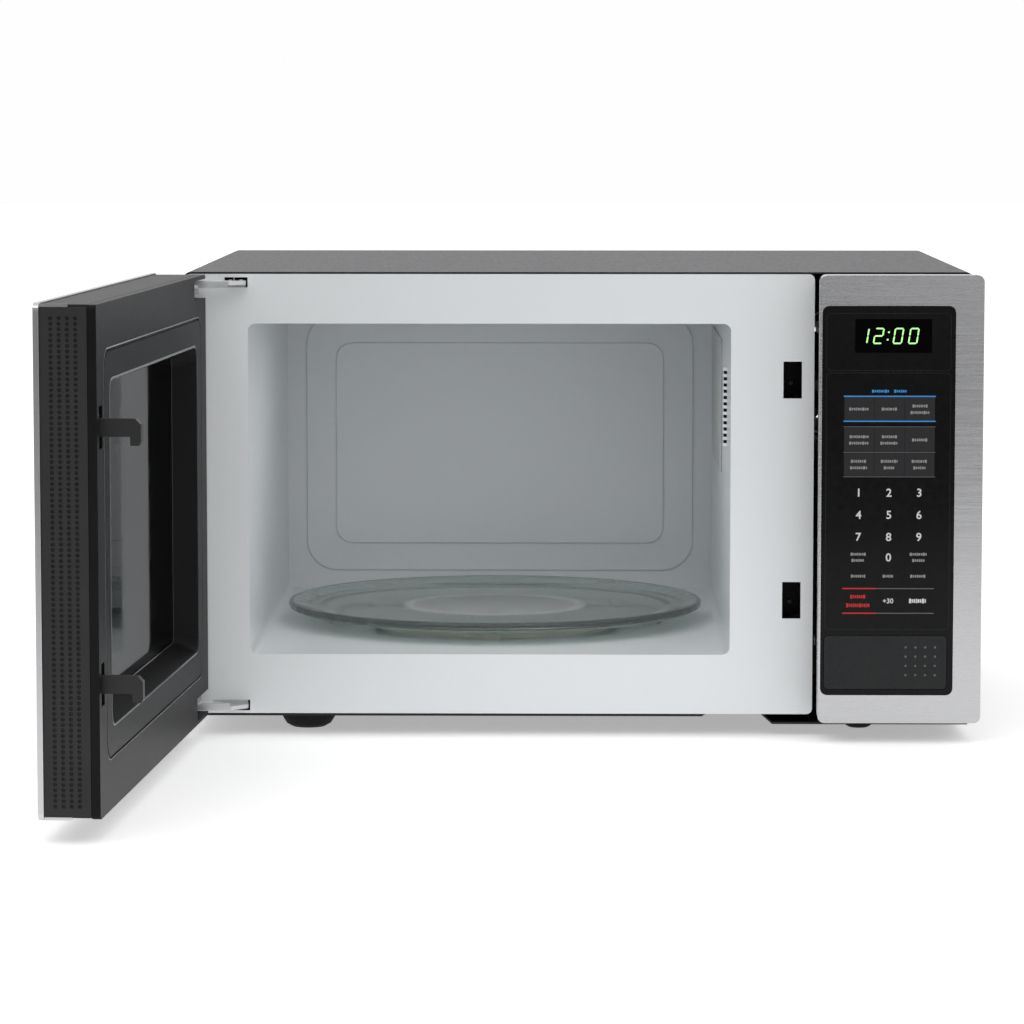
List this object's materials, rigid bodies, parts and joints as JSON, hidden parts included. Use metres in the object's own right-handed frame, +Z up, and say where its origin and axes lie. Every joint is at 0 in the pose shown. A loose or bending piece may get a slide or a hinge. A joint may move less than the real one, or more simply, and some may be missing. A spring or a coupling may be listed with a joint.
{
  "type": "microwave oven",
  "caption": "Countertop microwave oven with a side-hinged door, enamelled cavity, glass turntable, push-button door release and stainless control panel.",
  "frame": {"origin": "middle of the bounding box of the oven with its door open, on the worktop", "axes": "+Z up, the front with the door and control panel faces -Y, +X to the right seen from the front"},
  "size_m": [0.5616, 0.8106, 0.303],
  "materials": {
    "dark_grey_paint": "satin",
    "white_enamel": "semi-gloss",
    "zinc_plate": "satin",
    "brushed_stainless": "brushed",
    "black_plastic": "satin",
    "black_gloss": "gloss",
    "clear_glass": "polished",
    "tinted_glass": "polished",
    "white_plastic": "satin",
    "foot_rubber": "matte",
    "circuit_board": "satin",
    "laminated_core": "satin",
    "mica": "satin"
  },
  "bodies": {
    "root": {"outer_cover": "dark_grey_paint", "base_plate": "dark_grey_paint", "rear_panel": "zinc_plate", "cord_gland": "black_plastic", "front_plate": "white_enamel", "cavity_box": "white_enamel", "waveguide_cover": "mica", "waveguide": "zinc_plate", "magnetron": "zinc_plate", "hv_transformer": "laminated_core", "hv_capacitor": "zinc_plate", "hv_diode": "black_plastic", "fan_shroud": "black_plastic", "fan_motor": "laminated_core", "air_duct": "black_plastic", "cavity_lamp": "white_plastic", "thermal_cutout": "black_plastic", "filter_board": "circuit_board", "latch_board": "black_plastic", "lever_spring": "zinc_plate", "primary_switch": "black_plastic", "monitor_switch": "black_plastic", "secondary_switch": "black_plastic", "panel_frame": "black_plastic", "panel_skin": "brushed_stainless", "keypad_overlay": "black_gloss", "display_window": "tinted_glass", "display_module": "black_gloss", "control_board": "circuit_board", "turntable_motor": "zinc_plate", "foot_front_left": "foot_rubber", "foot_front_right": "foot_rubber", "foot_rear_left": "foot_rubber", "foot_rear_right": "foot_rubber", "upper_hinge_plate": "zinc_plate", "lower_hinge_plate": "zinc_plate"},
    "door": {"door_skin": "brushed_stainless", "door_outer_window": "tinted_glass", "door_moulding": "black_plastic", "door_edge_trim": "black_plastic", "door_steel_frame": "zinc_plate", "door_screen": "zinc_plate", "choke_cover": "black_plastic", "door_inner_window": "tinted_glass", "latch_spring": "zinc_plate"},
    "latch": {"latch_hooks": "black_plastic"},
    "open_button": {"open_button": "black_gloss"},
    "release_lever": {"release_lever": "white_plastic"},
    "primary_plunger": {"primary_plunger": "white_plastic"},
    "monitor_plunger": {"monitor_plunger": "white_plastic"},
    "secondary_plunger": {"secondary_plunger": "white_plastic"},
    "coupler": {"drive_coupler": "white_plastic"},
    "plate": {"glass_plate": "clear_glass"},
    "roller_ring": {"roller_ring": "white_plastic"},
    "roller_1": {"roller_1": "white_plastic"},
    "roller_2": {"roller_2": "white_plastic"},
    "roller_3": {"roller_3": "white_plastic"},
    "fan": {"fan_blade": "white_plastic"}
  },
  "joints": [
    {"name": "door_hinge", "type": "hinge", "parent": "root", "child": "door", "pos_m": [-0.23072, -0.00272, 0.15], "axis": [0, 0, -1], "range_deg": [-93.5, 16.5]},
    {"name": "latch_slide", "type": "slide", "parent": "door", "child": "latch", "axis": [0, 0, 1], "range_m": [0, 0.0055], "stiffness_N_per_m": 300, "springref_m": -0.004, "deforming": ["latch_spring"]},
    {"name": "open_button_press", "type": "slide", "parent": "root", "child": "open_button", "axis": [0, 1, 0], "range_m": [0, 0.0045], "stiffness_N_per_m": 600, "springref_m": -0.003},
    {"name": "release_lever_turn", "type": "hinge", "parent": "root", "child": "release_lever", "pos_m": [0.18428, 0.01728, 0.062], "axis": [1, 0, 0], "range_deg": [0, 20]},
    {"name": "primary_plunger_press", "type": "slide", "parent": "root", "child": "primary_plunger", "axis": [0, 1, 0], "range_m": [0, 0.0012], "stiffness_N_per_m": 300, "springref_m": -0.001},
    {"name": "monitor_plunger_press", "type": "slide", "parent": "root", "child": "monitor_plunger", "axis": [0, 1, 0], "range_m": [0, 0.0012], "stiffness_N_per_m": 300, "springref_m": -0.001},
    {"name": "secondary_plunger_press", "type": "slide", "parent": "root", "child": "secondary_plunger", "axis": [0, 1, 0], "range_m": [0, 0.0012], "stiffness_N_per_m": 300, "springref_m": -0.001},
    {"name": "turntable_spin", "type": "hinge", "parent": "root", "child": "coupler", "pos_m": [-0.03672, 0.19693, 0.053], "axis": [0, 0, 1], "continuous": true},
    {"name": "plate_lift", "type": "slide", "parent": "coupler", "child": "plate", "axis": [0, 0, 1], "range_m": [0, 0.12]},
    {"name": "roller_ring_spin", "type": "hinge", "parent": "root", "child": "roller_ring", "pos_m": [-0.03672, 0.19693, 0.0529], "axis": [0, 0, 1], "continuous": true},
    {"name": "roller_1_spin", "type": "hinge", "parent": "roller_ring", "child": "roller_1", "pos_m": [-0.03672, 0.10193, 0.0529], "axis": [0, -1, 0], "continuous": true},
    {"name": "roller_2_spin", "type": "hinge", "parent": "roller_ring", "child": "roller_2", "pos_m": [0.04555, 0.24443, 0.0529], "axis": [0.866, 0.5, 0], "continuous": true},
    {"name": "roller_3_spin", "type": "hinge", "parent": "roller_ring", "child": "roller_3", "pos_m": [-0.11899, 0.24443, 0.0529], "axis": [-0.866, 0.5, 0], "continuous": true},
    {"name": "fan_spin", "type": "hinge", "parent": "root", "child": "fan", "pos_m": [0.20928, 0.37968, 0.215], "axis": [0, 1, 0], "continuous": true}
  ],
  "couplings": [
    {"joint": "release_lever_turn", "follows": "open_button_press", "rad_per_m": 75},
    {"joint": "roller_ring_spin", "follows": "turntable_spin", "ratio": 0.5},
    {"joint": "roller_1_spin", "follows": "turntable_spin", "ratio": -8.4821},
    {"joint": "roller_2_spin", "follows": "turntable_spin", "ratio": -8.4821},
    {"joint": "roller_3_spin", "follows": "turntable_spin", "ratio": -8.4821}
  ]
}
